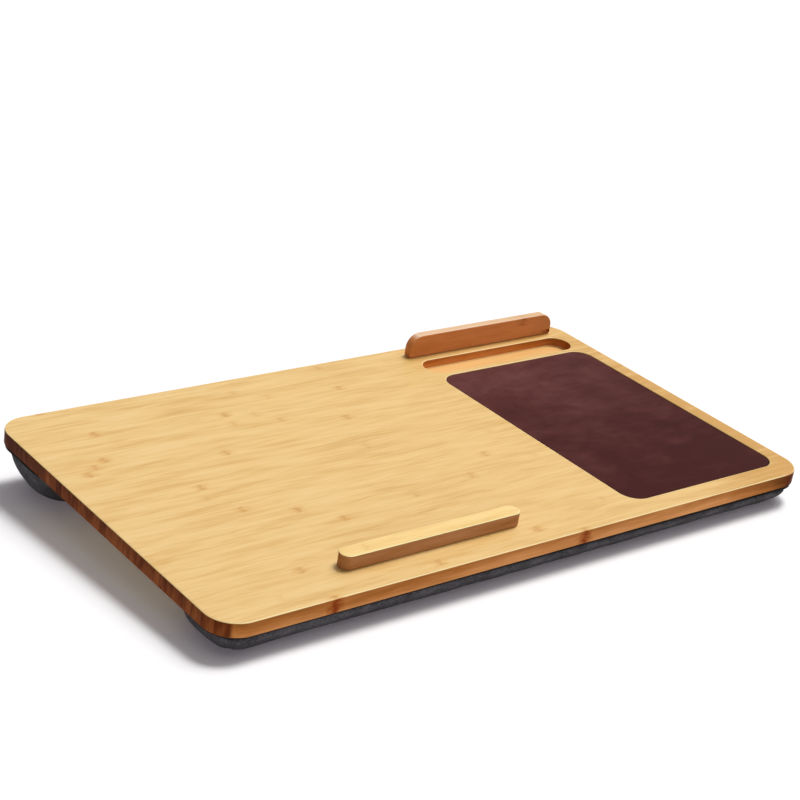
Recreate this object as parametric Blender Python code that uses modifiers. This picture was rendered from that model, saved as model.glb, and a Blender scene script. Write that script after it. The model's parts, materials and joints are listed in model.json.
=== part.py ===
"""Lap desk: a sloping bamboo board on two fabric bolsters.

A low ledge stands near the front edge, a leather pad is let into the board, and a blind slot has a fence
behind it. All pieces are placed in the board's own frame: X to the right, Y to the rear from the front
edge, Z up from the board's top face. One empty tilts that frame and stands it on the floor.
"""

import math

import bmesh
import bpy

# Board
BOARD_WIDTH = 0.533
BOARD_DEPTH = 0.300
BOARD_THICKNESS = 0.0105
BOARD_CORNER_RADIUS = 0.022
BOARD_ARRIS = 0.0008
BOARD_TILT = math.radians(3.8)

# Pad, let into the board
PAD_WIDTH = 0.156
PAD_CORNER_RADIUS = 0.014
PAD_FRONT_MARGIN = 0.0185
PAD_SIDE_MARGIN = 0.014
PAD_LEATHER_THICKNESS = 0.0011
PAD_FOAM_THICKNESS = 0.0008
PAD_SET_DOWN = 0.0004
PAD_ROUNDING = 0.0003

# Slot, behind the pad and centred on it
SLOT_LENGTH = 0.156
SLOT_WIDTH = 0.025
SLOT_DEPTH = 0.0075
SLOT_PAD_LAND = 0.0055

# Fence, behind the slot
FENCE_REAR_MARGIN = 0.011
FENCE_LENGTH = 0.154
FENCE_THICKNESS = 0.008
FENCE_HEIGHT = 0.0195
FENCE_CORNER_RADIUS = 0.012
FENCE_ARRIS = 0.0008
FENCE_SLOT_LAND = 0.0075

# Ledge near the front edge
LEDGE_LENGTH = 0.152
LEDGE_WIDTH = 0.013
LEDGE_HEIGHT = 0.0105
LEDGE_ARRIS = 0.0005
LEDGE_FRONT_MARGIN = 0.0242
LEDGE_CENTRE_FROM_LEFT = 0.1841

# Countersunk wood screws, up through the board into the ledge and the fence
SCREW_LENGTH = 0.018
SCREW_SHANK_RADIUS = 0.00175
SCREW_HEAD_RADIUS = 0.0034
SCREW_HEAD_HEIGHT = 0.0022
SCREW_RIM_HEIGHT = 0.0004
SCREW_POINT_LENGTH = 0.004
SCREW_TIP_RADIUS = 0.0003
SCREW_HEAD_SUNK = 0.0004
LEDGE_SCREW_END_MARGIN = 0.026
FENCE_SCREW_END_MARGIN = 0.027

# Hook-and-loop patches between the board and the bolsters
PATCH_LENGTH = 0.080
PATCH_WIDTH = 0.025
PATCH_THICKNESS = 0.0007
PATCH_CORNER_RADIUS = 0.004
PATCH_END_MARGIN = 0.0265

# Bolster backing sheets
BASE_THICKNESS = 0.001
BASE_INSET = 0.001
FRONT_BASE_DEPTH = 0.062
REAR_BASE_DEPTH = 0.077

# Bolsters: a cover with stuffing in it, sewn to its backing sheet inside a narrow flange
COVER_THICKNESS = 0.0012
BOLSTER_FLANGE = 0.001
FRONT_END_FLANGE = 0.004
REAR_END_FLANGE = 0.0035
FRONT_BOLSTER_HEIGHT = 0.015
FRONT_CORNER_RADIUS = 0.014
FRONT_FOOT_RADIUS = 0.0145
FRONT_ROLL = 0.017
REAR_CORNER_RADIUS = 0.0195
REAR_FOOT_RADIUS = 0.0355
REAR_ROLL = 0.0245
SEAM_DRAW_IN = 0.0015
FRONT_BULGE_DROP = 0.0012
REAR_BULGE_DROP = 0.0020
CROWN_CUT = 0.0005

# Fits
FIT_GAP = 0.0003
PAD_SIDE_GAP = 0.0004
SCREW_CLEARANCE = 0.0003
CUT_OVERRUN = 0.002

# Shape of the soft forms and fineness of the round stretches
FRONT_ROLL_POWER = 1.8
REAR_ROLL_POWER = 1.85
CORNER_SPREAD_POWER = 0.5
ROUND_END_SHARE = 0.995
ROLL_END_ANGLE = math.radians(80)
ROLL_STEPS = 8
CORNER_STEPS = 8
SCREW_SEGMENTS = 16
SHARP_ANGLE = math.radians(30)

BAMBOO = (0.720, 0.480, 0.210, 1.0)
BAMBOO_DARK = (0.400, 0.175, 0.065, 1.0)
BURGUNDY = (0.070, 0.022, 0.020, 1.0)
FOAM_GREY = (0.150, 0.150, 0.150, 1.0)
STEEL = (0.560, 0.570, 0.580, 1.0)
TAPE_BLACK = (0.015, 0.015, 0.016, 1.0)
SHEET_BLACK = (0.010, 0.010, 0.011, 1.0)
CHARCOAL = (0.052, 0.054, 0.058, 1.0)
FILL_WHITE = (0.800, 0.790, 0.760, 1.0)

FRAME_NAME = "board_frame"
PARTS_NAME = "Lap desk"
CUTTERS_NAME = "Cutters"

# Places worked out from the sizes, in the board's frame
FENCE_CENTRE_Y = BOARD_DEPTH - FENCE_REAR_MARGIN - FENCE_THICKNESS / 2
SLOT_CENTRE_Y = FENCE_CENTRE_Y - FENCE_THICKNESS / 2 - FENCE_SLOT_LAND - SLOT_WIDTH / 2
PAD_REAR_Y = SLOT_CENTRE_Y - SLOT_WIDTH / 2 - SLOT_PAD_LAND
PAD_DEPTH = PAD_REAR_Y - PAD_FRONT_MARGIN
PAD_CENTRE_X = BOARD_WIDTH / 2 - PAD_SIDE_MARGIN - PAD_WIDTH / 2
PAD_CENTRE_Y = PAD_FRONT_MARGIN + PAD_DEPTH / 2
PAD_RECESS = PAD_SET_DOWN + PAD_LEATHER_THICKNESS + PAD_FOAM_THICKNESS + 2 * FIT_GAP
LEDGE_CENTRE_X = LEDGE_CENTRE_FROM_LEFT - BOARD_WIDTH / 2
LEDGE_CENTRE_Y = LEDGE_FRONT_MARGIN + LEDGE_WIDTH / 2
PATCH_X = BOARD_WIDTH / 2 - PATCH_END_MARGIN - PATCH_LENGTH / 2
BASE_WIDTH = BOARD_WIDTH - 2 * BASE_INSET
BASE_CORNER_RADIUS = BOARD_CORNER_RADIUS - BASE_INSET
BASE_TOP = -BOARD_THICKNESS - 3 * FIT_GAP - 2 * PATCH_THICKNESS
SEAM_Z = BASE_TOP - BASE_THICKNESS - FIT_GAP
FRONT_BOLSTER_Y = BASE_INSET + FRONT_BASE_DEPTH / 2
REAR_BOLSTER_Y = BOARD_DEPTH - BASE_INSET - REAR_BASE_DEPTH / 2
FLOOR_BELOW_FRONT_EDGE = FRONT_BOLSTER_HEIGHT - SEAM_Z - FRONT_BOLSTER_Y * math.tan(BOARD_TILT)


def floor_z(y):
    """Height of the floor in the board's frame, under the place y."""
    return -FLOOR_BELOW_FRONT_EDGE - y * math.tan(BOARD_TILT)


def clear_scene():
    """Remove the objects of the open file."""
    for item in list(bpy.data.objects):
        bpy.data.objects.remove(item)


def make_collection(name):
    """Add a collection to the scene."""
    collection = bpy.data.collections.new(name)
    bpy.context.scene.collection.children.link(collection)
    return collection


def make_frame():
    """Add the empty that tilts the board's frame and stands it centred on the floor."""
    frame = bpy.data.objects.new(FRAME_NAME, None)
    reach = BOARD_DEPTH * math.cos(BOARD_TILT) + BOARD_THICKNESS * math.sin(BOARD_TILT)
    frame.location = (0, -reach / 2, FLOOR_BELOW_FRONT_EDGE * math.cos(BOARD_TILT))
    frame.rotation_euler = (BOARD_TILT, 0, 0)
    bpy.context.scene.collection.objects.link(frame)
    return frame


def make_material(name, colour, roughness, metallic=0.0):
    """Add a plain Principled material."""
    material = bpy.data.materials.new(name)
    material.use_nodes = True
    shader = material.node_tree.nodes["Principled BSDF"]
    shader.inputs["Base Color"].default_value = colour
    shader.inputs["Roughness"].default_value = roughness
    shader.inputs["Metallic"].default_value = metallic
    return material


def add_object(name, mesh, place, material=None):
    """Put a mesh in the board's frame, as a part with a material or as a cutter without one."""
    item = bpy.data.objects.new(name, mesh)
    item.parent = bpy.data.objects[FRAME_NAME]
    item.location = place
    if material:
        mesh.materials.append(material)
        bpy.data.collections[PARTS_NAME].objects.link(item)
    else:
        item.hide_render = True
        item.display_type = "WIRE"
        bpy.data.collections[CUTTERS_NAME].objects.link(item)
    return item


def shade(mesh):
    """Shade a mesh smooth, but for its sharp edges."""
    mesh.shade_smooth()
    mesh.set_sharp_from_angle(angle=SHARP_ANGLE)


def corner_arc(centre_x, centre_y, radius, start):
    """Points of a quarter circle, counter-clockwise from the start angle."""
    angles = [start + math.pi / 2 * i / CORNER_STEPS for i in range(CORNER_STEPS + 1)]
    return [(centre_x + radius * math.cos(a), centre_y + radius * math.sin(a)) for a in angles]


def rounded_rectangle(width, depth, radius):
    """Outline of a rectangle with round corners, centred, counter-clockwise."""
    x = width / 2 - radius
    y = depth / 2 - radius
    corners = [(-x, -y, math.pi), (x, -y, 1.5 * math.pi), (x, y, 0), (-x, y, 0.5 * math.pi)]
    points = []
    for centre_x, centre_y, start in corners:
        points += corner_arc(centre_x, centre_y, radius, start)
    return points


def stadium(length, width):
    """Outline with two straight sides and two half-round ends, centred."""
    x = (length - width) / 2
    right = corner_arc(x, 0, width / 2, -math.pi / 2) + corner_arc(x, 0, width / 2, 0)[1:]
    left = corner_arc(-x, 0, width / 2, math.pi / 2) + corner_arc(-x, 0, width / 2, math.pi)[1:]
    return right + left


def tab_outline(length, height, radius):
    """Outline that stands on its lower edge, with round upper corners."""
    x = length / 2 - radius
    right = corner_arc(x, height - radius, radius, 0)
    left = corner_arc(-x, height - radius, radius, math.pi / 2)
    return [(-length / 2, 0), (length / 2, 0)] + right + left


def slab_mesh(name, outline, thickness):
    """Mesh of a flat outline drawn as a filled 2D curve and extruded about its own plane."""
    curve = bpy.data.curves.new(name, "CURVE")
    curve.dimensions = "2D"
    curve.fill_mode = "BOTH"
    curve.extrude = thickness / 2
    spline = curve.splines.new("POLY")
    spline.points.add(len(outline) - 1)
    for point, (x, y) in zip(spline.points, outline):
        point.co = (x, y, 0, 1)
    spline.use_cyclic_u = True
    drawing = bpy.data.objects.new(name, curve)
    bpy.context.scene.collection.objects.link(drawing)
    evaluated = drawing.evaluated_get(bpy.context.evaluated_depsgraph_get())
    mesh = bpy.data.meshes.new_from_object(evaluated)
    mesh.name = name
    bpy.data.objects.remove(drawing)
    bpy.data.curves.remove(curve)
    body = bmesh.new()
    body.from_mesh(mesh)
    bmesh.ops.remove_doubles(body, verts=body.verts, dist=FIT_GAP / 10)
    bmesh.ops.recalc_face_normals(body, faces=body.faces)
    body.to_mesh(mesh)
    body.free()
    shade(mesh)
    return mesh


def add_slab(name, outline, thickness, place, top, material=None):
    """Add a flat piece or cutter whose top face is at a given height in the board's frame."""
    mesh = slab_mesh(name, outline, thickness)
    return add_object(name, mesh, (place[0], place[1], top - thickness / 2), material)


def add_bevel(item, width, segments):
    """Round the sharp edges of a piece."""
    bevel = item.modifiers.new("arris", "BEVEL")
    bevel.width = width
    bevel.segments = segments
    bevel.limit_method = "ANGLE"
    bevel.angle_limit = SHARP_ANGLE * 2


def cut(item, cutter):
    """Subtract a cutter from a piece."""
    boolean = item.modifiers.new(cutter.name, "BOOLEAN")
    boolean.operation = "DIFFERENCE"
    boolean.solver = "EXACT"
    boolean.object = cutter


def screw_places():
    """Name and place of each screw, in the board's frame."""
    ledge = LEDGE_LENGTH / 2 - LEDGE_SCREW_END_MARGIN
    fence = FENCE_LENGTH / 2 - FENCE_SCREW_END_MARGIN
    return {
        "ledge_screw_left": (LEDGE_CENTRE_X - ledge, LEDGE_CENTRE_Y),
        "ledge_screw_right": (LEDGE_CENTRE_X + ledge, LEDGE_CENTRE_Y),
        "fence_screw_left": (PAD_CENTRE_X - fence, FENCE_CENTRE_Y),
        "fence_screw_right": (PAD_CENTRE_X + fence, FENCE_CENTRE_Y),
    }


def screw_profile(clearance, overrun):
    """Outer side of a countersunk screw standing on its head, from the tip down."""
    rim = SCREW_HEAD_RADIUS + clearance
    shank = SCREW_SHANK_RADIUS + clearance
    neck = SCREW_HEAD_HEIGHT - SCREW_RIM_HEIGHT
    point = SCREW_LENGTH - SCREW_POINT_LENGTH
    return [
        (0, SCREW_LENGTH + clearance),
        (SCREW_TIP_RADIUS + clearance, SCREW_LENGTH + clearance),
        (shank, point + clearance),
        (shank, SCREW_RIM_HEIGHT + neck + clearance),
        (rim, SCREW_RIM_HEIGHT + clearance),
        (rim, -overrun),
        (0, -overrun),
    ]


def turned_mesh(name, profile):
    """Mesh of a profile to be turned about Z by a Screw modifier."""
    mesh = bpy.data.meshes.new(name)
    vertices = [(radius, 0, z) for radius, z in profile]
    mesh.from_pydata(vertices, [(i, i + 1) for i in range(len(vertices) - 1)], [])
    return mesh


def turn(item):
    """Turn a profile into a closed round body."""
    screw = item.modifiers.new("turned", "SCREW")
    screw.steps = SCREW_SEGMENTS
    screw.render_steps = SCREW_SEGMENTS
    screw.use_merge_vertices = True
    screw.merge_threshold = FIT_GAP / 10
    screw.use_smooth_shade = True


def add_screws(material):
    """Add the screws and, for each, the cutter of its hole."""
    head_z = SCREW_HEAD_SUNK - BOARD_THICKNESS
    holes = {}
    for name, (x, y) in screw_places().items():
        mesh = turned_mesh(name, screw_profile(0, 0))
        turn(add_object(name, mesh, (x, y, head_z), material))
        mesh = turned_mesh(name + "_hole", screw_profile(SCREW_CLEARANCE, CUT_OVERRUN))
        holes[name] = add_object(name + "_hole", mesh, (x, y, head_z))
        turn(holes[name])
    return holes


def add_board(holes, material):
    """Add the board, with the pad's recess, the slot and the screw holes cut in it."""
    outline = rounded_rectangle(BOARD_WIDTH, BOARD_DEPTH, BOARD_CORNER_RADIUS)
    board = add_slab("board", outline, BOARD_THICKNESS, (0, BOARD_DEPTH / 2), 0, material)
    add_bevel(board, BOARD_ARRIS, 2)
    width = PAD_WIDTH + 2 * PAD_SIDE_GAP
    depth = PAD_DEPTH + 2 * PAD_SIDE_GAP
    outline = rounded_rectangle(width, depth, PAD_CORNER_RADIUS + PAD_SIDE_GAP)
    place = (PAD_CENTRE_X, PAD_CENTRE_Y)
    cut(board, add_slab("pad_recess", outline, PAD_RECESS + CUT_OVERRUN, place, CUT_OVERRUN))
    outline = stadium(SLOT_LENGTH, SLOT_WIDTH)
    place = (PAD_CENTRE_X, SLOT_CENTRE_Y)
    cut(board, add_slab("phone_slot", outline, SLOT_DEPTH + CUT_OVERRUN, place, CUT_OVERRUN))
    for hole in holes.values():
        cut(board, hole)


def add_ledge(holes, material):
    """Add the low strip with round ends near the front edge."""
    outline = stadium(LEDGE_LENGTH, LEDGE_WIDTH)
    place = (LEDGE_CENTRE_X, LEDGE_CENTRE_Y)
    ledge = add_slab("laptop_ledge", outline, LEDGE_HEIGHT - FIT_GAP, place, LEDGE_HEIGHT, material)
    add_bevel(ledge, LEDGE_ARRIS, 2)
    cut(ledge, holes["ledge_screw_left"])
    cut(ledge, holes["ledge_screw_right"])


def add_fence(holes, material):
    """Add the upright strip with round upper corners behind the slot."""
    outline = tab_outline(FENCE_LENGTH, FENCE_HEIGHT - FIT_GAP, FENCE_CORNER_RADIUS)
    mesh = slab_mesh("phone_fence", outline, FENCE_THICKNESS)
    fence = add_object("phone_fence", mesh, (PAD_CENTRE_X, FENCE_CENTRE_Y, FIT_GAP), material)
    fence.rotation_euler = (math.pi / 2, 0, 0)
    add_bevel(fence, FENCE_ARRIS, 2)
    cut(fence, holes["fence_screw_left"])
    cut(fence, holes["fence_screw_right"])


def add_mouse_pad(leather, foam):
    """Add the pad's leather skin and the foam that it is glued to."""
    outline = rounded_rectangle(PAD_WIDTH, PAD_DEPTH, PAD_CORNER_RADIUS)
    place = (PAD_CENTRE_X, PAD_CENTRE_Y)
    thickness = PAD_LEATHER_THICKNESS
    skin = add_slab("mouse_pad_leather", outline, thickness, place, -PAD_SET_DOWN, leather)
    add_bevel(skin, PAD_ROUNDING, 1)
    top = -PAD_SET_DOWN - thickness - FIT_GAP
    add_slab("mouse_pad_foam", outline, PAD_FOAM_THICKNESS, place, top, foam)


def add_patches(material):
    """Add the hook patches on the board's underside and the loop patches on the backing sheets."""
    outline = rounded_rectangle(PATCH_LENGTH, PATCH_WIDTH, PATCH_CORNER_RADIUS)
    hook_top = -BOARD_THICKNESS - FIT_GAP
    loop_top = hook_top - PATCH_THICKNESS - FIT_GAP
    for row, y in (("front", FRONT_BOLSTER_Y), ("rear", REAR_BOLSTER_Y)):
        for side, x in (("left", -PATCH_X), ("right", PATCH_X)):
            for tape, top in (("hook", hook_top), ("loop", loop_top)):
                name = f"{tape}_patch_{row}_{side}"
                add_slab(name, outline, PATCH_THICKNESS, (x, y), top, material)


def bolster_sizes(row, shrink):
    """Sizes of a bolster that is made smaller all round.

    They are its half length and half depth, the radius of its corners at the seam and at the foot, the
    width of its roll, the power of the roll's superellipse and how far the widest place is under the seam.
    """
    if row == "front":
        half_length = BASE_WIDTH / 2 - FRONT_END_FLANGE - shrink
        half_depth = FRONT_BASE_DEPTH / 2 - BOLSTER_FLANGE - shrink
        corners = (FRONT_CORNER_RADIUS - shrink, FRONT_FOOT_RADIUS - shrink)
        return half_length, half_depth, corners, FRONT_ROLL - shrink, FRONT_ROLL_POWER, FRONT_BULGE_DROP
    half_length = BASE_WIDTH / 2 - REAR_END_FLANGE - shrink
    half_depth = REAR_BASE_DEPTH / 2 - BOLSTER_FLANGE - shrink
    corners = (REAR_CORNER_RADIUS - shrink, REAR_FOOT_RADIUS - shrink)
    return half_length, half_depth, corners, REAR_ROLL - shrink, REAR_ROLL_POWER, REAR_BULGE_DROP


def bolster_rings(row, centre_y, shrink, rise):
    """Rings of points down a bolster: from its seam over the bulge and the roll to the flat it rests on.

    Each ring is the bolster's outline drawn in by a superellipse while it goes down, with corners that
    spread from the seam to the foot. Below the floor the points stay on it, which cuts the crown flat.
    """
    half_length, half_depth, corners, roll, power, bulge_drop = bolster_sizes(row, shrink)

    def ring(inset, share, drop):
        spread = corners[0] + (corners[1] - corners[0]) * share ** CORNER_SPREAD_POWER
        width = 2 * (half_length - inset)
        depth = 2 * (half_depth - inset)
        corner = min(spread, ROUND_END_SHARE * (half_depth - inset))
        return [(x, y, drop(y + centre_y)) for x, y in rounded_rectangle(width, depth, corner)]

    rings = []
    if rise:
        rings.append(ring(SEAM_DRAW_IN, 0, lambda y: SEAM_Z + rise))
    rings.append(ring(SEAM_DRAW_IN, 0, lambda y: SEAM_Z))
    for step in range(ROLL_STEPS + 1):
        angle = ROLL_END_ANGLE * step / ROLL_STEPS
        inset = roll * (1 - math.cos(angle) ** (2 / power))
        share = math.sin(angle) ** (2 / power)

        def drop(y, share=share):
            bulge_z = SEAM_Z - bulge_drop
            bottom = floor_z(y) + shrink
            return max(bottom, bulge_z - share * (bulge_z - bottom + CROWN_CUT))

        rings.append(ring(inset, share, drop))
    return rings


def bolster_mesh(name, row, centre_y, shrink, rise=0):
    """Closed mesh lofted through the rings of a bolster."""
    body = bmesh.new()
    loops = []
    for ring in bolster_rings(row, centre_y, shrink, rise):
        loops.append([body.verts.new(point) for point in ring])
    count = len(loops[0])
    for upper, lower in zip(loops, loops[1:]):
        for i in range(count):
            j = (i + 1) % count
            body.faces.new((upper[j], upper[i], lower[i], lower[j]))
    body.faces.new(loops[0])
    body.faces.new(loops[-1][::-1])
    mesh = bpy.data.meshes.new(name)
    body.to_mesh(mesh)
    body.free()
    shade(mesh)
    return mesh


def add_bolster(row, centre_y, base_depth, fabric, sheet, stuffing):
    """Add a bolster: its backing sheet, its cover as a shell that is open towards the sheet, and its fill."""
    outline = rounded_rectangle(BASE_WIDTH, base_depth, BASE_CORNER_RADIUS)
    add_slab(f"{row}_bolster_base", outline, BASE_THICKNESS, (0, centre_y), BASE_TOP, sheet)
    place = (0, centre_y, 0)
    name = f"{row}_bolster_cover"
    cover = add_object(name, bolster_mesh(name, row, centre_y, 0), place, fabric)
    name = f"{row}_bolster_cavity"
    cavity = bolster_mesh(name, row, centre_y, COVER_THICKNESS, CUT_OVERRUN)
    cut(cover, add_object(name, cavity, place))
    name = f"{row}_bolster_fill"
    fill = bolster_mesh(name, row, centre_y, COVER_THICKNESS + FIT_GAP)
    add_object(name, fill, place, stuffing)


def main():
    """Build the lap desk."""
    clear_scene()
    make_collection(PARTS_NAME)
    make_collection(CUTTERS_NAME)
    make_frame()
    bamboo = make_material("bamboo", BAMBOO, 0.45)
    dark_bamboo = make_material("carbonised bamboo", BAMBOO_DARK, 0.45)
    leather = make_material("burgundy leather", BURGUNDY, 0.5)
    foam = make_material("pad foam", FOAM_GREY, 0.9)
    steel = make_material("zinc plated steel", STEEL, 0.35, 1.0)
    tape = make_material("hook and loop tape", TAPE_BLACK, 0.9)
    sheet = make_material("black backing sheet", SHEET_BLACK, 0.8)
    felt = make_material("charcoal fabric", CHARCOAL, 0.95)
    stuffing = make_material("polyester stuffing", FILL_WHITE, 0.9)
    holes = add_screws(steel)
    add_board(holes, bamboo)
    add_ledge(holes, bamboo)
    add_fence(holes, dark_bamboo)
    add_mouse_pad(leather, foam)
    add_patches(tape)
    add_bolster("front", FRONT_BOLSTER_Y, FRONT_BASE_DEPTH, felt, sheet, stuffing)
    add_bolster("rear", REAR_BOLSTER_Y, REAR_BASE_DEPTH, felt, sheet, stuffing)


main()
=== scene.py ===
"""Lap desk: a sloping bamboo board on two fabric bolsters, with a low ledge near the front edge, a leather
pad let into the board at the right, and a blind slot with a fence behind the pad.

Pieces are drawn in the board's own frame (X to the right, Y to the rear from the front edge, Z up from the
top face) and then stood on the floor with the board's slope.
"""

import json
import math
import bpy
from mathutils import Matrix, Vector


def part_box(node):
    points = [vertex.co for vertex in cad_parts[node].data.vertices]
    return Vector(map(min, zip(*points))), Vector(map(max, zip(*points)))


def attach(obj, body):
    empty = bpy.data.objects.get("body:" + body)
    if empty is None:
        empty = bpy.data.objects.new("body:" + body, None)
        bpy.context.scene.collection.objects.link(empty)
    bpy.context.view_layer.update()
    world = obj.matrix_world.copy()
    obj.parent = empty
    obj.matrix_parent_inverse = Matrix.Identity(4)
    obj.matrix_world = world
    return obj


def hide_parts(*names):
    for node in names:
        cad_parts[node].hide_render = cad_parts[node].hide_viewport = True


bl_info = {
    "name": "Lap desk",
    "version": (1, 0, 0),
    "blender": (4, 5, 0),
    "location": "View3D > Sidebar > Lap desk",
    "description": "Dresses a lap desk in bamboo, leather and fabric, and sets its light and camera",
    "category": "Object",
}

from functools import partial

import bmesh
import bpy
from bpy.props import FloatProperty, FloatVectorProperty, IntProperty, PointerProperty
from mathutils import Matrix, Vector, noise

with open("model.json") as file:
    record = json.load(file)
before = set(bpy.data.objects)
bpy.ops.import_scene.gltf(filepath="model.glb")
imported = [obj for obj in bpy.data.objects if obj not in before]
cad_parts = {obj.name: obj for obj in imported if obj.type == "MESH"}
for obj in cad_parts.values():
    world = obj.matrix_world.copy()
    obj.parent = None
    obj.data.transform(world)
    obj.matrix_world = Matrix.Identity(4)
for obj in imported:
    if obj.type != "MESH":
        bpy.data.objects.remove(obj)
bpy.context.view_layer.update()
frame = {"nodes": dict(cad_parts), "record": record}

MM = 0.001
BODY = "root"

# The board's frame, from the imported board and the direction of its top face
BOARD_DEPTH = 0.300
BOARD_THICKNESS = 0.0105
BOARD_NORMAL = Vector(next(m["axis"] for m in frame["record"]["mounts"] if m["name"] == "laptop_face"))
BOARD_TILT = math.atan2(-BOARD_NORMAL.y, BOARD_NORMAL.z)
BOARD_TURN = Matrix.Rotation(BOARD_TILT, 4, "X")
BOARD_LOW, BOARD_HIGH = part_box("board")
BOARD_WIDTH = BOARD_HIGH.x - BOARD_LOW.x
BOARD_MIDDLE = Vector((0, BOARD_DEPTH / 2, -BOARD_THICKNESS / 2))
BOARD_ORIGIN = (BOARD_LOW + BOARD_HIGH) / 2 - BOARD_TURN @ BOARD_MIDDLE
BOARD_PLACE = Matrix.Translation(BOARD_ORIGIN) @ BOARD_TURN

# Pieces on the board, in its frame
CORNER_RADIUS = 0.022
FIT_GAP = 0.0003
PAD_WIDTH = 0.156
PAD_DEPTH = 0.2245
PAD_CORNER_RADIUS = 0.014
PAD_FRONT_MARGIN = 0.0185
PAD_SIDE_MARGIN = 0.014
PAD_SIDE_GAP = 0.0004
PAD_SET_DOWN = 0.0004
PAD_THICKNESS = 0.0011
PAD_RECESS = 0.0029
PAD_X = BOARD_WIDTH / 2 - PAD_SIDE_MARGIN - PAD_WIDTH / 2
PAD_Y = PAD_FRONT_MARGIN + PAD_DEPTH / 2
SLOT_LENGTH = 0.156
SLOT_WIDTH = 0.025
SLOT_DEPTH = 0.0075
SLOT_Y = 0.261
FENCE_LENGTH = 0.155
FENCE_HEIGHT = 0.0187
FENCE_THICKNESS = 0.008
FENCE_CORNER_RADIUS = 0.012
FENCE_X = PAD_X - 0.002
FENCE_Y = 0.285
LEDGE_LENGTH = 0.152
LEDGE_WIDTH = 0.013
LEDGE_HEIGHT = 0.0105
LEDGE_X = -0.0824
LEDGE_Y = 0.0307

# Bolsters and their backing sheets, in the board's frame
SHEET_INSET = 0.001
SHEET_TOP = -0.0128
SHEET_THICKNESS = 0.001
SEAM_Z = -0.0141
SEAM_DRAW_IN = 0.0015
COVER_THICKNESS = 0.0012
SIDE_FLANGE = 0.001
CROWN_CUT = 0.0005
CORNER_SPREAD_POWER = 0.5
ROUND_END_SHARE = 0.995
ROLL_END_ANGLE = math.radians(80)
LIFT_WIDTH = 0.016
HANG_START = 0.08
HANG_SHARE = 0.85

# The two bolsters: corners are radii at the seam and at the foot, and roll is how far the sides curve in
ROWS = {
    "front": {
        "y": 0.032, "depth": 0.062, "end_flange": 0.004, "corners": (0.014, 0.0145),
        "roll": 0.017, "power": 1.8, "bulge_drop": 0.0012, "lift": 0.0019, "right_inset": 0.004,
    },
    "rear": {
        "y": 0.2605, "depth": 0.077, "end_flange": 0.0035, "corners": (0.0195, 0.0355),
        "roll": 0.0245, "power": 1.85, "bulge_drop": 0.0020, "lift": 0.0003, "right_inset": 0.0,
    },
}

# Unevenness of the covers: the wadding's lumps, and how far puckers reach from a sheet or from a seam
LUMP_DEPTH = 0.22 * MM
LUMP_SIZE_MM = 24
PUCKER_REACH = 3 * MM
SEAM_PUCKER_SHARE = 0.35
SEAM_PUCKER_SIZE_MM = 1.1

# Camera, at the photograph's viewing angle
CAMERA_PLACE = (-0.82206, -0.94838, 0.56753)
CAMERA_TURN = (68.351, -5.543, -37.995)
CAMERA_LENS = 83.09
SENSOR_WIDTH = 36.0

# Fineness of the round stretches
CORNER_STEPS = 24
ROLL_STEPS = 24
LIFT_STEPS = 6

# How pieces are cut and their edges rounded: shares are of the wood's arris or the sheet's thickness
OVERRUN = 0.002
SHARP_ANGLE = math.radians(40)
BOARD_FOOT_SHARE = 0.3
LEDGE_ARRIS_SHARE = 0.7
SHEET_ARRIS_SHARE = 0.3

# For the materials: the number of the board's front strip, and a Mix node's sockets for colours
FRONT_STRIP = -1.0
WHITE = (1.0, 1.0, 1.0, 1.0)
MIX_SHARE = 0
MIX_UNDER = 6
MIX_OVER = 7
MIX_OUT = 2


def linear(code):
    """Turn an sRGB hex value into a linear colour."""
    values = [int(code[i:i + 2], 16) / 255 for i in (0, 2, 4)]
    return tuple(v / 12.92 if v <= 0.04045 else ((v + 0.055) / 1.055) ** 2.4 for v in values)


def toned(colour, shares):
    """Scale each channel of a linear colour by its share, and add an alpha of one."""
    return tuple(min(1.0, c * s) for c, s in zip(colour, shares)) + (1.0,)


def per(size_mm):
    """Texture scale at which one unit of a pattern is the given size."""
    return 1 / (size_mm * MM)


def add_node(tree, kind, inputs=(), operation=None, out=0, stops=None, **settings):
    """Add a node: its settings, its ramp's stops and its inputs, as values or as links from sockets.

    A kind without "Node" in it is a shader node, and inputs that aren't given keep their own values. Give
    the output of that name or number, or the node itself if out is None.
    """
    item = tree.nodes.new(kind if "Node" in kind else f"ShaderNode{kind}")
    if operation:
        item.operation = operation
    for name, value in settings.items():
        setattr(item, name, value)
    for number, (position, colour) in enumerate(stops or ()):
        if number >= 2:
            item.color_ramp.elements.new(position)
        item.color_ramp.elements[number].position = position
        item.color_ramp.elements[number].color = colour
    for key, value in inputs.items() if isinstance(inputs, dict) else enumerate(inputs):
        if isinstance(value, bpy.types.NodeSocket):
            tree.links.new(value, item.inputs[key])
        elif value is not None:
            item.inputs[key].default_value = value
    return item if out is None else item.outputs[out]


def new_material(name, **constants):
    """Add a material whose Principled shader has the constants.

    Give it with its shader, with a way to add nodes, and with the place in the board's frame for patterns.
    """
    material = bpy.data.materials.new(name)
    material.use_nodes = True
    add = partial(add_node, material.node_tree)
    shader = material.node_tree.nodes["Principled BSDF"]
    for key, value in constants.items():
        shader.inputs[key.replace("_", " ")].default_value = value
    place = add("TexCoord", out="Object")
    inputs = {"Vector": place, "Location": BOARD_ORIGIN, "Rotation": (BOARD_TILT, 0, 0)}
    place = add("Mapping", inputs, vector_type="TEXTURE")
    return material, shader, add, place


def feed(shader, **sources):
    """Link sockets to the inputs of a shader."""
    for key, source in sources.items():
        shader.id_data.links.new(source, shader.inputs[key.replace("_", " ")])


def weighted_sum(add, total, *terms):
    """Add sources to a total, each times its weight."""
    for source, weight in terms:
        total = add("Math", [source, weight, total], "MULTIPLY_ADD")
    return total


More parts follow.
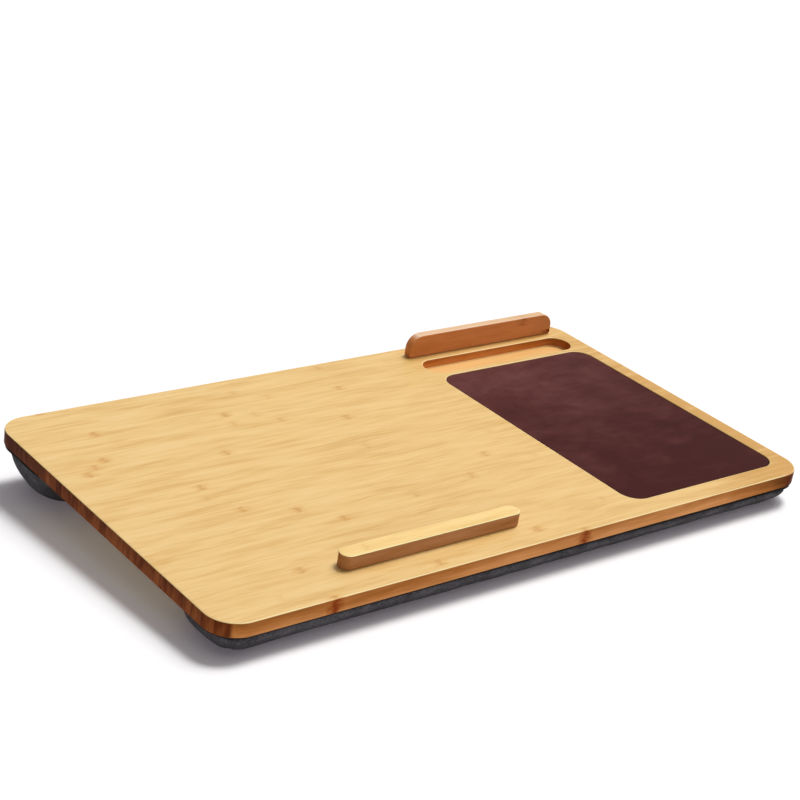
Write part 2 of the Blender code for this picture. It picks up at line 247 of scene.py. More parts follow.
def stretched_noise(add, place, sizes_mm, shift=None, out=0, **inputs):
    """Noise with patches of the given sizes along X, Y and Z, moved by a shift where there is one."""
    place = add("VectorMath", [place, [per(size) for size in sizes_mm]], "MULTIPLY")
    if shift is not None:
        place = add("VectorMath", [place, shift], "ADD")
    return add("TexNoise", {"Vector": place, "Scale": 1.0, **inputs}, out=out)


def layered(add, colour, layers, blend="MIX"):
    """Lay colours over a colour, one after another, each by its own share."""
    for share, over in layers:
        inputs = {MIX_SHARE: share, MIX_UNDER: colour, MIX_OVER: over}
        colour = add("Mix", inputs, out=MIX_OUT, data_type="RGBA", blend_type=blend)
    return colour


def fibres(add, place, chance):
    """Fine fibres, and streaks of them along X that sway a little and differ from strip to strip.

    Both are drawn coarser than the real ones so that they show.
    """
    sway = stretched_noise(add, place, (60, 16, 16), out="Color", Detail=2.0)
    sway = add("VectorMath", [sway, (0.5, 0.5, 0.5)], "SUBTRACT")
    sway = add("VectorMath", [sway, (0, 7 * MM, 5 * MM)], "MULTIPLY")
    swayed = add("VectorMath", [place, sway], "ADD")
    shift = add("VectorMath", [chance, (70, 9, 5)], "MULTIPLY")
    fine = stretched_noise(add, swayed, (42, 2.2, 2.4), shift, Detail=3.0, Roughness=0.6)
    broad = stretched_noise(add, swayed, (75, 9, 9), Detail=3.0)
    streak = weighted_sum(add, 0.0, (fine, 0.45), (broad, 0.55))
    return fine, streak


def knuckles(add, wood, place, x, row, phase):
    """Halos and dark lines of knuckles, at fixed places on the front strip and at random on the others."""
    fixed = add("Math", [row, FRONT_STRIP, 0.5], "COMPARE")
    loose = add("Math", [1.0, fixed], "SUBTRACT")
    along = add("Math", [x, wood.first_knuckle], "SUBTRACT")
    along = add("Math", [along, wood.knuckle_spacing], "DIVIDE")
    along = add("Math", [phase, loose, along], "MULTIPLY_ADD")
    nearest = add("Math", [along], "ROUND")
    away = add("Math", [along, nearest], "SUBTRACT")
    away = add("Math", [away], "ABSOLUTE")
    away = add("Math", [away, wood.knuckle_spacing], "MULTIPLY")
    ragged = stretched_noise(add, place, (5, 1.8, 2.2), Detail=2.0)
    ragged = add("Math", [ragged, 12 * MM, -6 * MM], "MULTIPLY_ADD")
    away = add("Math", [away, ragged], "ADD")
    key = add("CombineXYZ", [row, nearest])
    strength = add("TexWhiteNoise", {"Vector": key}, noise_dimensions="2D")
    strength = add("MapRange", [strength, 0.5, 1.0])
    strength = add("Math", [strength, fixed], "MAXIMUM")
    halo = add("MapRange", [away, 9 * MM, 0.3 * MM, 0.0, 0.8], interpolation_type="SMOOTHSTEP")
    halo = add("Math", [halo, strength], "MULTIPLY")
    line = add("MapRange", [away, 2.8 * MM, 0.2 * MM, 0.0, 0.7], interpolation_type="SMOOTHSTEP")
    line = add("Math", [line, strength], "MULTIPLY")
    return halo, line


def facings(add, x, ends_beyond, face_from):
    """Tell cut ends, cut sides and the strips' faces apart by the way that the surface looks.

    Give the normal's X and Z, and how far the surface faces right, is a cut end, faces up and is a face.
    """
    normal = add("NewGeometry", out="Normal")
    turned = {"Vector": normal, "Rotation": (BOARD_TILT, 0, 0)}
    normal = add("Mapping", turned, vector_type="TEXTURE")
    facing_x, _, facing_z = add("SeparateXYZ", [normal], out=None).outputs
    to_left = add("MapRange", [facing_x, -0.52, -0.62])
    to_right = add("MapRange", [facing_x, 0.08, 0.30])
    on_end = add("Math", [to_left, to_right], "ADD")
    from_middle = add("Math", [x], "ABSOLUTE")
    beyond = add("Math", [from_middle, ends_beyond], "GREATER_THAN")
    on_end = add("Math", [on_end, beyond], "MULTIPLY")
    on_top = add("MapRange", [facing_z, face_from, face_from + 0.20])
    below = add("MapRange", [facing_z, -0.90, -0.98])
    on_face = add("Math", [on_top, below], "ADD")
    return facing_x, facing_z, to_right, on_end, on_top, on_face


def bamboo(name, colours, height, strips_along="Y", ends_beyond=BOARD_WIDTH, painted_side_shading=0.36, face_from=0.40):
    """Side-pressed bamboo under a satin lacquer.

    Narrow strips lie side by side and differ a little in tone, with short fibres and, now and then, a
    knuckle. A surface shows the strips' faces if its normal points up by at least face_from, and its round
    edges get a painted highlight. Cut sides are browner than the face, paler towards the foot of a piece of
    the given height by painted bounce light of the given strength, and darker near the board's right end by
    painted shade. The cut ends of the cane, further than ends_beyond from the middle, soak up the lacquer and
    are darkest.
    """
    wood = bpy.context.scene.lap_desk_wood
    material, shader, add, place = new_material(name)
    x, y, z = add("SeparateXYZ", [place], out=None).outputs

    # One number for each strip, and chances that follow from it
    across = add("Math", [y if strips_along == "Y" else z, wood.first_seam], "SUBTRACT")
    across = add("Math", [across, wood.strip_width], "DIVIDE")
    row = add("Math", [across], "FLOOR")
    chance = add("TexWhiteNoise", {"W": row}, out="Color", noise_dimensions="1D")
    phase, lightness, _ = add("SeparateColor", [chance], out=None).outputs
    glue = add("Math", [across], "FRACT")
    glue = add("Math", [glue, 0.5], "SUBTRACT")
    glue = add("Math", [glue], "ABSOLUTE")
    glue = add("MapRange", [glue, 0.44, 0.5])
    fine, streak = fibres(add, place, chance)
    halo, line = knuckles(add, wood, place, x, row, phase)
    facing_x, facing_z, to_right, on_end, on_top, on_face = facings(add, x, ends_beyond, face_from)

    # The face's tone: each strip has its own, and all are more golden to the right, most so in front
    lighter = add("Math", [lightness, 0.5], "SUBTRACT")
    golden = add("MapRange", [x, 0.14, BOARD_WIDTH / 2, 0.0, 0.27])
    forward = add("MapRange", [y, 0.12, BOARD_DEPTH, 1.25, 0.4])
    golden = add("Math", [golden, forward], "MULTIPLY")
    tone = weighted_sum(add, streak, (lighter, 0.05), (golden, -1.0))

    # Painted highlight on the round edges, weaker where they face left; and the floor of a router-cut recess,
    # in a tone of its own, lightened by painted light where the recess shades it
    arris_highlight = add("MapRange", [facing_z, 0.995, 0.94, 0.0, wood.arris_highlight_strength])
    paled = add("MapRange", [facing_x, -0.36, -0.26, 0.3, 1.0])
    arris_highlight = add("Math", [arris_highlight, paled], "MULTIPLY")
    # Painted light: the floor of the recess is lightened where the recess shades it
    routed_tone_and_light = add("MapRange", [z, -0.6 * MM, -1.6 * MM, 0.0, 0.6])
    routed_tone_and_light = add("Math", [routed_tone_and_light, on_top], "MULTIPLY")

    # Slow drifts over the length of the board and from a piece's foot to its top: a drift of tone on the
    # face, and painted light and shade on the cut sides and ends
    length_share = add("MapRange", [x, -BOARD_WIDTH / 2, BOARD_WIDTH / 2])
    height_share = add("Math", [z, height], "DIVIDE")
    height_share = add("Math", [height_share], "FRACT")

    face = getattr(wood, f"{colours}_face")
    cut_side = getattr(wood, f"{colours}_side")
    cut_end = wood.end_grain
    stops = [
        (0.22, toned(face, (0.76, 0.61, 0.33))),
        (0.43, toned(face, (0.94, 0.90, 0.82))),
        (0.51, toned(face, (1.0, 1.0, 1.0))),
        (0.62, toned(face, (1.04, 1.07, 1.16))),
    ]
    face_colour = add("ValToRGB", [tone], stops=stops)
    face_colour = layered(add, face_colour, [(length_share, (1.0, 0.96, 0.82, 1.0))], "MULTIPLY")
    layers = [
        (arris_highlight, toned(face, (1.4, 1.52, 1.95))),
        (halo, toned(face, (0.88, 0.73, 0.50))),
        (line, toned(face, (0.74, 0.55, 0.36))),
        (routed_tone_and_light, toned(face, (1.15, 0.98, 0.86))),
    ]
    face_colour = layered(add, face_colour, layers)

    # Cut sides: paler along the board by painted light, darker near its right end by painted shade, most so
    # in front
    right_end_shade = add("MapRange", [x, 0.175, 0.255, 0.0, 2 * painted_side_shading])
    near_front = add("MapRange", [y, 0.05, 0.15, 1.0, 0.27])
    right_end_shade = add("Math", [right_end_shade, near_front], "MULTIPLY")
    terms = [(streak, 0.9), (length_share, 0.27), (right_end_shade, -1.0), (height_share, -painted_side_shading)]
    side_tone = weighted_sum(add, 0.07, *terms)
    stops = [
        (0.0, toned(cut_side, (0.42, 0.34, 0.20))),
        (0.35, toned(cut_side, (0.78, 0.70, 0.58))),
        (0.60, toned(cut_side, (1.12, 1.22, 1.45))),
        (0.78, toned(cut_side, (1.34, 1.58, 2.20))),
    ]
    side_colour = add("ValToRGB", [side_tone], stops=stops)
    layers = [(halo, toned(cut_side, (0.52, 0.25, 0.11))), (line, toned(cut_side, (0.38, 0.14, 0.07)))]
    side_colour = layered(add, side_colour, layers)
    # Painted shade: the front of the board's right end is dimmed further
    right_front_shade = add("MapRange", [x, 0.226, 0.248])
    right_front_shade = add("Math", [right_front_shade, near_front], "MULTIPLY")
    side_colour = layered(add, side_colour, [(right_front_shade, (0.42, 0.42, 0.40, 1.0))], "MULTIPLY")

    # Cut ends: each strip shows as a bar of its own tone, with a dark glue line beside it. Painted shade
    # darkens the bars towards the rear, towards the top and on the right end
    bar = stretched_noise(add, place, (math.inf, 4, 14), Detail=2.0)
    rear_shade = add("MapRange", [y, 0.16, 0.27, 0.05, 0.40])
    terms = [(lightness, 0.34), (rear_shade, -1.0), (height_share, -0.22), (to_right, -0.26)]
    bar = weighted_sum(add, bar, *terms)
    stops = [
        (0.05, toned(cut_end, (0.26, 0.18, 0.13))),
        (0.35, toned(cut_end, (0.55, 0.46, 0.42))),
        (0.70, toned(cut_end, (1.10, 1.15, 1.25))),
    ]
    end_colour = add("ValToRGB", [bar], stops=stops)
    end_colour = layered(add, end_colour, [(glue, toned(cut_end, (0.32, 0.22, 0.16)))])
    colour = layered(add, side_colour, [(on_end, end_colour), (on_face, face_colour)])

    gloss = add("MapRange", [facing_z, 0.6, 0.97, 0.02, 0.3])
    roughness = add("MapRange", [fine, 0.35, 0.65, 0.52, 0.40])
    bump = add("Bump", {"Height": fine, "Strength": 0.25, "Distance": 0.12 * MM})
    feed(shader, Base_Color=colour, Specular_IOR_Level=gloss, Roughness=roughness, Normal=bump)
    return material


def leather(name):
    """Smooth coated leather: a matt burgundy, paler towards the rear left by painted sheen, with a fine
    pebbled grain.
    """
    pad = bpy.context.scene.lap_desk_pad
    material, shader, add, place = new_material(name, Specular_IOR_Level=0.04)
    cloud = add("TexNoise", {"Vector": place, "Scale": per(48), "Detail": 5.0, "Roughness": 0.6})
    scuff = stretched_noise(add, place, (30, 12, 12), Detail=3.0, Distortion=0.6)
    # Painted sheen: paler towards the rear left, darker towards the front right
    painted_sheen = add("VectorMath", [place, (-0.30, 1.0, 0.0)], "DOT_PRODUCT", out="Value")
    painted_sheen = add("MapRange", [painted_sheen, -0.05, 0.21, -0.02, 0.22])
    tone = weighted_sum(add, painted_sheen, (cloud, 0.35), (scuff, 0.2))
    stops = [
        (0.30, toned(pad.leather, (0.55, 0.36, 0.34))),
        (0.42, toned(pad.leather, (1.0, 1.0, 1.0))),
        (0.56, toned(pad.leather, (1.65, 2.3, 2.3))),
    ]
    colour = add("ValToRGB", [tone], stops=stops)
    # The pebbles of the grain are about half a millimetre, and drawn at twice that
    grain = add("TexVoronoi", {"Vector": place, "Scale": per(1.0)})
    roughness = add("MapRange", [tone, 0.36, 0.66, 0.62, 0.48])
    bump = add("Bump", {"Height": grain, "Strength": 0.35, "Distance": 0.08 * MM})
    bump = add("Bump", {"Height": cloud, "Strength": 0.2, "Distance": 0.8 * MM, "Normal": bump})
    feed(shader, Base_Color=colour, Roughness=roughness, Normal=bump)
    return material


def jersey(name):
    """Charcoal heather jersey: dark and pale yarns mixed, which reads as fine speckle, with a soft nap."""
    bolsters = bpy.context.scene.lap_desk_bolsters
    constants = {"Sheen_Weight": 0.08, "Sheen_Roughness": 0.5, "Specular_IOR_Level": 0.05, "Roughness": 0.95}
    material, shader, add, place = new_material(name, **constants)
    # Yarns are 0.4 mm wide; the flecks and the knit are drawn about three times as coarse, to show
    fleck = stretched_noise(add, place, (2.2, 1.2, 1.2), Detail=2.0, Roughness=0.7)
    cloud = add("TexNoise", {"Vector": place, "Scale": per(14), "Detail": 2.0})
    tone = weighted_sum(add, 0.0, (cloud, 0.45), (fleck, 0.55))
    stops = [
        (0.40, toned(bolsters.fabric, (0.60, 0.60, 0.62))),
        (0.50, toned(bolsters.fabric, (1.0, 1.0, 1.0))),
        (0.62, toned(bolsters.fabric, (1.45, 1.5, 1.55))),
    ]
    colour = add("ValToRGB", [tone], stops=stops)
    # Cloth that faces the floor gets painted shade and is darker
    facing = add("SeparateXYZ", [add("NewGeometry", out="Normal")], out=2)
    pressed = add("MapRange", [facing, -0.30, -0.80, 0.0, 0.65])
    colour = layered(add, colour, [(pressed, toned(bolsters.fabric, (0.2, 0.2, 0.22)))])
    knit = add("TexVoronoi", {"Vector": place, "Scale": per(1.1)})
    bump = add("Bump", {"Height": knit, "Strength": 0.5, "Distance": 0.25 * MM})
    feed(shader, Base_Color=colour, Normal=bump)
    return material


def fibrous(name, colour, size_mm, depth_mm, **constants):
    """A matted or woven surface in one colour: uneven in tone, with fibres of a given size."""
    material, shader, add, place = new_material(name, **constants)
    fibre = add("TexNoise", {"Vector": place, "Scale": per(size_mm), "Detail": 4.0})
    stops = [(0.35, toned(colour, (0.7, 0.7, 0.7))), (0.65, toned(colour, (1.3, 1.3, 1.3)))]
    tinted = add("ValToRGB", [fibre], stops=stops)
    bump = add("Bump", {"Height": fibre, "Strength": 0.6, "Distance": depth_mm * MM})
    feed(shader, Base_Color=tinted, Normal=bump)
    return material


def zinc(name):
    """Zinc-plated steel: a bright bluish metal with cloudy patches in its plating."""
    material, shader, add, place = new_material(name, Metallic=1.0)
    cloud = add("TexNoise", {"Vector": place, "Scale": per(3), "Detail": 3.0})
    stops = [(0.35, linear("A9AEB3") + (1.0,)), (0.65, linear("D3D8DC") + (1.0,))]
    colour = add("ValToRGB", [cloud], stops=stops)
    roughness = add("MapRange", [cloud, 0.35, 0.65, 0.45, 0.28])
    feed(shader, Base_Color=colour, Roughness=roughness)
    return material


def corner_arc(centre_x, centre_y, radius, start):
    """Points of a quarter circle, counter-clockwise from the start angle."""
    angles = [start + math.pi / 2 * i / CORNER_STEPS for i in range(CORNER_STEPS + 1)]
    return [(centre_x + radius * math.cos(a), centre_y + radius * math.sin(a)) for a in angles]


def rounded_rectangle(width, depth, radius):
    """Outline of a rectangle with round corners, centred, counter-clockwise."""
    x = width / 2 - radius
    y = depth / 2 - radius
    corners = [(-x, -y, math.pi), (x, -y, 1.5 * math.pi), (x, y, 0), (-x, y, 0.5 * math.pi)]
    points = []
    for centre_x, centre_y, start in corners:
        points += corner_arc(centre_x, centre_y, radius, start)
    return points


def stadium(length, width):
    """Outline with two straight sides and two half-round ends, centred."""
    x = (length - width) / 2
    right = corner_arc(x, 0, width / 2, -math.pi / 2) + corner_arc(x, 0, width / 2, 0)[1:]
    left = corner_arc(-x, 0, width / 2, math.pi / 2) + corner_arc(-x, 0, width / 2, math.pi)[1:]
    return right + left


def tab_outline(length, height, radius):
    """Outline that stands on its lower edge, with round upper corners."""
    x = length / 2 - radius
    right = corner_arc(x, height - radius, radius, 0)
    left = corner_arc(-x, height - radius, radius, math.pi / 2)
    return [(-length / 2, 0), (length / 2, 0)] + right + left


def link(name, mesh):
    """Put a mesh in the scene as an object."""
    item = bpy.data.objects.new(name, mesh)
    bpy.context.scene.collection.objects.link(item)
    return item


def closed_object(name, body):
    """Put a closed mesh in the scene as an object, with its faces turned outwards."""
    bmesh.ops.recalc_face_normals(body, faces=body.faces)
    mesh = bpy.data.meshes.new(name)
    body.to_mesh(mesh)
    body.free()
    return link(name, mesh)


def plate(name, outline, thickness, place=(0, 0), top=0.0):
    """Object with the mesh of a flat outline, extruded down from its top face."""
    body = bmesh.new()
    points = [body.verts.new((x + place[0], y + place[1], top)) for x, y in outline]
    upper = body.faces.new(points)
    made = bmesh.ops.extrude_face_region(body, geom=[upper])["geom"]
    lower = [item for item in made if isinstance(item, bmesh.types.BMVert)]
    bmesh.ops.translate(body, verts=lower, vec=(0, 0, -thickness))
    return closed_object(name, body)


def cut(item, cutter):
    """Subtract a cutter from a piece."""
    boolean = item.modifiers.new(cutter.name, "BOOLEAN")
    boolean.operation = "DIFFERENCE"
    boolean.solver = "EXACT"
    boolean.object = cutter


def bake(item):
    """Replace an object's mesh by its evaluated one, and take its modifiers off."""
    evaluated = item.evaluated_get(bpy.context.evaluated_depsgraph_get())
    mesh = bpy.data.meshes.new_from_object(evaluated)
    item.modifiers.clear()
    item.data = mesh


def ease_edges(item, width, foot_share=1.0):
    """Round the sharp edges of a piece, those of its foot by a share, and shade all but its flats smooth."""
    item.data.shade_smooth()
    body = bmesh.new()
    body.from_mesh(item.data)
    weight = body.edges.layers.float.new("bevel_weight_edge")
    foot = min(vertex.co.z for vertex in body.verts) + FIT_GAP
    for edge in body.edges:
        if edge.calc_face_angle(0) > SHARP_ANGLE:
            edge[weight] = foot_share if max(end.co.z for end in edge.verts) < foot else 1.0
    body.to_mesh(item.data)
    body.free()
    bevel = item.modifiers.new("arris", "BEVEL")
    bevel.width = width
    bevel.segments = 3
    bevel.limit_method = "WEIGHT"
    weighted = item.modifiers.new("flats", "WEIGHTED_NORMAL")
    weighted.keep_sharp = True
    bake(item)


def coat(item, material):
    """Give a piece one material in place of those it has."""
    item.data.materials.clear()
    item.data.materials.append(material)


def finish_piece(item, material, slot, *nodes):
    """Coat a piece, stand it on the floor with the board's slope, and put it in its nodes' place."""
    item.data.transform(BOARD_PLACE)
    coat(item, material)
    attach(item, BODY)
    if nodes:
        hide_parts(*nodes)


def number_setting(name, description, default, **kind):
    """Property that holds a number."""
    return FloatProperty(name=name, description=description, default=default, **kind)


def length_setting(name, description, size_mm):
    """Property that holds a length, given in millimetres."""
    return number_setting(name, description, size_mm * MM, unit="LENGTH")


def angle_setting(name, description, degrees):
    """Property that holds an angle, given in degrees."""
    return number_setting(name, description, math.radians(degrees), subtype="ANGLE")


def colour_setting(name, description, code):
    """Property that holds a colour, given as an sRGB hex value."""
    return FloatVectorProperty(name=name, description=description, default=linear(code), subtype="COLOR")


class LapDeskWood(bpy.types.PropertyGroup):
    """Sizes and colours of the bamboo."""

    strip_width: length_setting("Strip width", "Width of one pressed strip", 7.5)
    first_seam: length_setting("First seam", "Width of the front strip, which was trimmed", 4.4)
    knuckle_spacing: length_setting("Knuckle spacing", "Distance between a cane's knuckles", 215)
    first_knuckle: length_setting("First knuckle", "Place of a knuckle on the front strip", 33)
    arris: length_setting("Arris", "Rounding of the sanded edges", 1.0)
    # Painted highlight: the next setting is how strongly the round edges are lightened
    arris_highlight_strength: number_setting("Arris lightness", "How strongly a painted highlight lightens the round edges", 0.9,
                                    subtype="FACTOR")
    board_face: colour_setting("Board's face", "Colour of the board's top", "E7C17F")
    board_side: colour_setting("Board's sides", "Colour of its cut long sides", "D88D4C")
    end_grain: colour_setting("End grain", "Colour of the board's cut ends", "975228")
    ledge_face: colour_setting("Ledge's face", "Colour of the ledge's top", "F5D28B")
    ledge_side: colour_setting("Ledge's sides", "Colour of its cut sides", "AE7546")
    fence_face: colour_setting("Fence's top", "Colour of the fence's top", "E8C2A0")
    fence_side: colour_setting("Fence's sides", "Colour of its cut long sides", "C5783E")


class LapDeskPad(bpy.types.PropertyGroup):
    """Sizes and colours of the leather pad."""

    leather: colour_setting("Leather", "Colour of the leather", "4F2422")
    foam: colour_setting("Foam", "Colour of the foam under the leather", "3A3A3A")
    rounding: length_setting("Rounding", "Rounding of the leather's cut edge", 0.35)


class LapDeskBolsters(bpy.types.PropertyGroup):
    """Sizes and colours of the bolsters."""

    fabric: colour_setting("Fabric", "Colour of the cover", "555255")
    sheet: colour_setting("Backing sheet", "Colour of the backing sheet", "1C1C1E")
    wadding: colour_setting("Wadding", "Colour of the stuffing", "E6E4DE")
    thread: colour_setting("Thread", "Colour of the stitches", "4A4C50")
    tape: colour_setting("Tape", "Colour of the hook and loop tape", "202022")
    cloth_mesh: length_setting("Cloth mesh", "Mesh size for the cloth simulation", 3.2)
    slack: length_setting("Slack", "How far inside its full form the cloth starts; outside if negative", -0.5)
    swell: length_setting("Swell", "Furthest that the stuffing pushes the cloth", 0.35)
    pressure: number_setting("Pressure", "Pressure of the stuffing", 4.0)
    spare_cloth: number_setting("Spare cloth", "Share of cloth over what the form needs", 0.004,
                                subtype="FACTOR")
    frames: IntProperty(name="Frames", description="Steps of the cloth simulation", default=20)
    seam_depth: length_setting("Seam depth", "How far the corner seams pull in", 0.45)
    seam_width: length_setting("Seam width", "Half width of the hollow along a seam", 2.2)
    pucker_pitch: length_setting("Pucker pitch", "Distance between puckers along the sheet", 9)
    pucker_depth: length_setting("Pucker depth", "Depth of a pucker at the sheet", 0.22)
    stitch_pitch: length_setting("Stitch pitch", "Distance between stitches", 3.2)
    stitch_length: length_setting("Stitch length", "Visible length of a stitch", 2.4)
    stitch_thickness: length_setting("Stitch thickness", "Thickness of the thread", 0.5)


class LapDeskStage(bpy.types.PropertyGroup):
    """Light and floor."""

    floor: colour_setting("Floor", "Colour of the floor", "F2F2F3")
    floor_reach: length_setting("Floor reach", "Half width of the floor", 8000)
    key_strength: number_setting("Key strength", "Strength of the softbox overhead", 1.5)
    key_spread: angle_setting("Key spread", "Angle that the softbox fills in the sky", 17)
    side_strength: number_setting("Side strength", "Strength of the softbox at the right", 1.15)
    side_spread: angle_setting("Side spread", "Angle that the softbox at the right fills", 32)
    ceiling_strength: number_setting("Ceiling strength", "Strength of the lit ceiling", 0.6)
    ceiling_spread: angle_setting("Ceiling spread", "Angle that the ceiling fills", 95)
    fill_strength: number_setting("Fill strength", "Strength of the soft light in front", 0.65)
    fill_spread: angle_setting("Fill spread", "Angle that the light in front fills", 40)
    sky_strength: number_setting("Sky strength", "Strength of the even light all round", 0.035)


class LAPDESK_OT_board(bpy.types.Operator):
    """Make the bamboo board, with its pad recess and its slot."""

    bl_idname = "lapdesk.board"
    bl_label = "Board"

    def execute(self, context):
        wood = context.scene.lap_desk_wood
        outline = rounded_rectangle(BOARD_WIDTH, BOARD_DEPTH, CORNER_RADIUS)
        board = plate("bamboo_board", outline, BOARD_THICKNESS, (0, BOARD_DEPTH / 2))
        width = PAD_WIDTH + 2 * PAD_SIDE_GAP
        depth = PAD_DEPTH + 2 * PAD_SIDE_GAP
        outline = rounded_rectangle(width, depth, PAD_CORNER_RADIUS + PAD_SIDE_GAP)
        recess = plate("pad_recess", outline, PAD_RECESS + OVERRUN, (PAD_X, PAD_Y), OVERRUN)
        outline = stadium(SLOT_LENGTH, SLOT_WIDTH)
        slot = plate("slot_recess", outline, SLOT_DEPTH + OVERRUN, (PAD_X, SLOT_Y), OVERRUN)
        cut(board, recess)
        cut(board, slot)
        bake(board)
        ease_edges(board, wood.arris, BOARD_FOOT_SHARE)
        bpy.data.objects.remove(recess)
        bpy.data.objects.remove(slot)
        ends_beyond = BOARD_WIDTH / 2 - CORNER_RADIUS / 2
        material = bamboo("bamboo, satin lacquer", "board", BOARD_THICKNESS, ends_beyond=ends_beyond)
        finish_piece(board, material, "bamboo", "board")
        return {"FINISHED"}


class LAPDESK_OT_ledge_and_fence(bpy.types.Operator):
    """Make the low ledge near the front edge and the fence behind the slot."""

    bl_idname = "lapdesk.ledge_and_fence"
    bl_label = "Ledge and fence"

    def execute(self, context):
        wood = context.scene.lap_desk_wood
        outline = stadium(LEDGE_LENGTH, LEDGE_WIDTH)
        ledge = plate("ledge", outline, LEDGE_HEIGHT - FIT_GAP, (LEDGE_X, LEDGE_Y), LEDGE_HEIGHT)
        ease_edges(ledge, wood.arris * LEDGE_ARRIS_SHARE)
        material = bamboo("bamboo ledge, satin lacquer", "ledge", LEDGE_HEIGHT, painted_side_shading=0.0)
        finish_piece(ledge, material, "bamboo", "laptop_ledge")

        outline = tab_outline(FENCE_LENGTH, FENCE_HEIGHT - FIT_GAP, FENCE_CORNER_RADIUS)
        fence = plate("fence", outline, FENCE_THICKNESS, (0, 0), FENCE_THICKNESS / 2)
        stand = Matrix.Translation((FENCE_X, FENCE_Y, FIT_GAP)) @ Matrix.Rotation(math.pi / 2, 4, "X")
        fence.data.transform(stand)
        ease_edges(fence, wood.arris)
        material = bamboo("carbonised bamboo, satin lacquer", "fence", FENCE_HEIGHT, "Z", painted_side_shading=0.0,
                          face_from=0.76)
        finish_piece(fence, material, "carbonised_bamboo", "phone_fence")
        return {"FINISHED"}


class LAPDESK_OT_mouse_pad(bpy.types.Operator):
    """Make the leather skin of the pad and finish the foam under it."""

    bl_idname = "lapdesk.mouse_pad"
    bl_label = "Mouse pad"

    def execute(self, context):
        pad = context.scene.lap_desk_pad
        outline = rounded_rectangle(PAD_WIDTH, PAD_DEPTH, PAD_CORNER_RADIUS)
        skin = plate("pad_leather", outline, PAD_THICKNESS, (PAD_X, PAD_Y), -PAD_SET_DOWN)
        ease_edges(skin, pad.rounding)
        finish_piece(skin, leather("burgundy leather"), "burgundy_leather", "mouse_pad_leather")
        foam = fibrous("closed-cell foam", pad.foam, 0.6, 0.2, Roughness=0.9)
        coat(frame["nodes"]["mouse_pad_foam"], foam)
        return {"FINISHED"}


def edge_distance(row, x, y):
    """How far a place is inside the outline of a bolster's backing sheet."""
    radius = CORNER_RADIUS - SHEET_INSET
    over_x = abs(x) - (BOARD_WIDTH / 2 - SHEET_INSET - radius)
    over_y = abs(y - ROWS[row]["y"]) - (ROWS[row]["depth"] / 2 - radius)
    return radius - math.hypot(max(over_x, 0), max(over_y, 0)) - min(max(over_x, over_y), 0)


def margin_lift(row, x, y):
    """How far the backing sheet's margin bends up towards the board at a place, less so at the right end."""
    share = min(1, max(0, edge_distance(row, x, y) / LIFT_WIDTH))
    hanging = min(1, max(0, (x - HANG_START) / (BOARD_WIDTH / 2 - HANG_START)))
    return ROWS[row]["lift"] * (1 - share * share * (3 - 2 * share)) * (1 - HANG_SHARE * hanging)


def sheet_ring(row, inset, z):
    """Outline of a bolster's backing sheet, drawn in by an inset, at a height."""
    width = BOARD_WIDTH - 2 * SHEET_INSET - 2 * inset
    depth = ROWS[row]["depth"] - 2 * inset
    outline = rounded_rectangle(width, depth, CORNER_RADIUS - SHEET_INSET - inset)
    places = [(x, y + ROWS[row]["y"]) for x, y in outline]
    return [(x, y, z + margin_lift(row, x, y)) for x, y in places]


def loft(name, rings):
    """Object with the mesh of a closed form through rings of points."""
    body = bmesh.new()
    loops = [[body.verts.new(point) for point in ring] for ring in rings]
    count = len(loops[0])
    for upper, lower in zip(loops, loops[1:]):
        for i in range(count):
            j = (i + 1) % count
            body.faces.new((upper[j], upper[i], lower[i], lower[j]))
    body.faces.new(loops[0])
    body.faces.new(loops[-1][::-1])
    return closed_object(name, body)


class LAPDESK_OT_backing_sheets(bpy.types.Operator):
    """Make the black sheets that the bolsters are sewn to."""

    bl_idname = "lapdesk.backing_sheets"
    bl_label = "Backing sheets"

    def execute(self, context):
        bolsters = context.scene.lap_desk_bolsters
        felt = fibrous("black non-woven sheet", bolsters.sheet, 1.5, 0.2, Roughness=0.85,
                       Specular_IOR_Level=0.2)
        steps = [LIFT_WIDTH * i / LIFT_STEPS for i in range(LIFT_STEPS, -1, -1)]
        for row in ROWS:
            upper = [sheet_ring(row, inset, SHEET_TOP) for inset in steps]
            lower = [sheet_ring(row, inset, SHEET_TOP - SHEET_THICKNESS) for inset in reversed(steps)]
            sheet = loft(f"{row}_sheet", upper + lower)
            ease_edges(sheet, SHEET_THICKNESS * SHEET_ARRIS_SHARE)
            finish_piece(sheet, felt, "black_backing_sheet", f"{row}_bolster_base")
        return {"FINISHED"}


def stitch_tree():
    """Geometry nodes that lay stitches along a loop of edges."""
    tree = bpy.data.node_groups.new("Stitch row", "GeometryNodeTree")
    tree.interface.new_socket("Loop", in_out="INPUT", socket_type="NodeSocketGeometry")
    for name in ("Pitch", "Length", "Thickness"):
        tree.interface.new_socket(name, in_out="INPUT", socket_type="NodeSocketFloat")
    tree.interface.new_socket("Thread", in_out="INPUT", socket_type="NodeSocketMaterial")
    tree.interface.new_socket("Stitches", in_out="OUTPUT", socket_type="NodeSocketGeometry")
    add = partial(add_node, tree)
    given = add("NodeGroupInput", out=None).outputs
    path = add("GeometryNodeMeshToCurve", {"Mesh": given["Loop"]})
    path = add("GeometryNodeResampleCurve", {"Curve": path, "Length": given["Pitch"]}, mode="LENGTH")
    bead = add("GeometryNodeMeshUVSphere", {"Segments": 6, "Rings": 4, "Radius": 0.5})
    size = add("CombineXYZ", [given["Length"], given["Thickness"], given["Thickness"]])
    bead = add("GeometryNodeTransform", {"Geometry": bead, "Scale": size})
    heading = add("GeometryNodeInputTangent")
    turn = add("FunctionNodeAlignRotationToVector", {"Vector": heading}, axis="X")
    rows = add("GeometryNodeInstanceOnPoints", {"Points": path, "Instance": bead, "Rotation": turn})
    rows = add("GeometryNodeRealizeInstances", [rows])
    rows = add("GeometryNodeSetMaterial", {"Geometry": rows, "Material": given["Thread"]})
    tree.links.new(rows, add("NodeGroupOutput", out=None).inputs[0])
    return tree


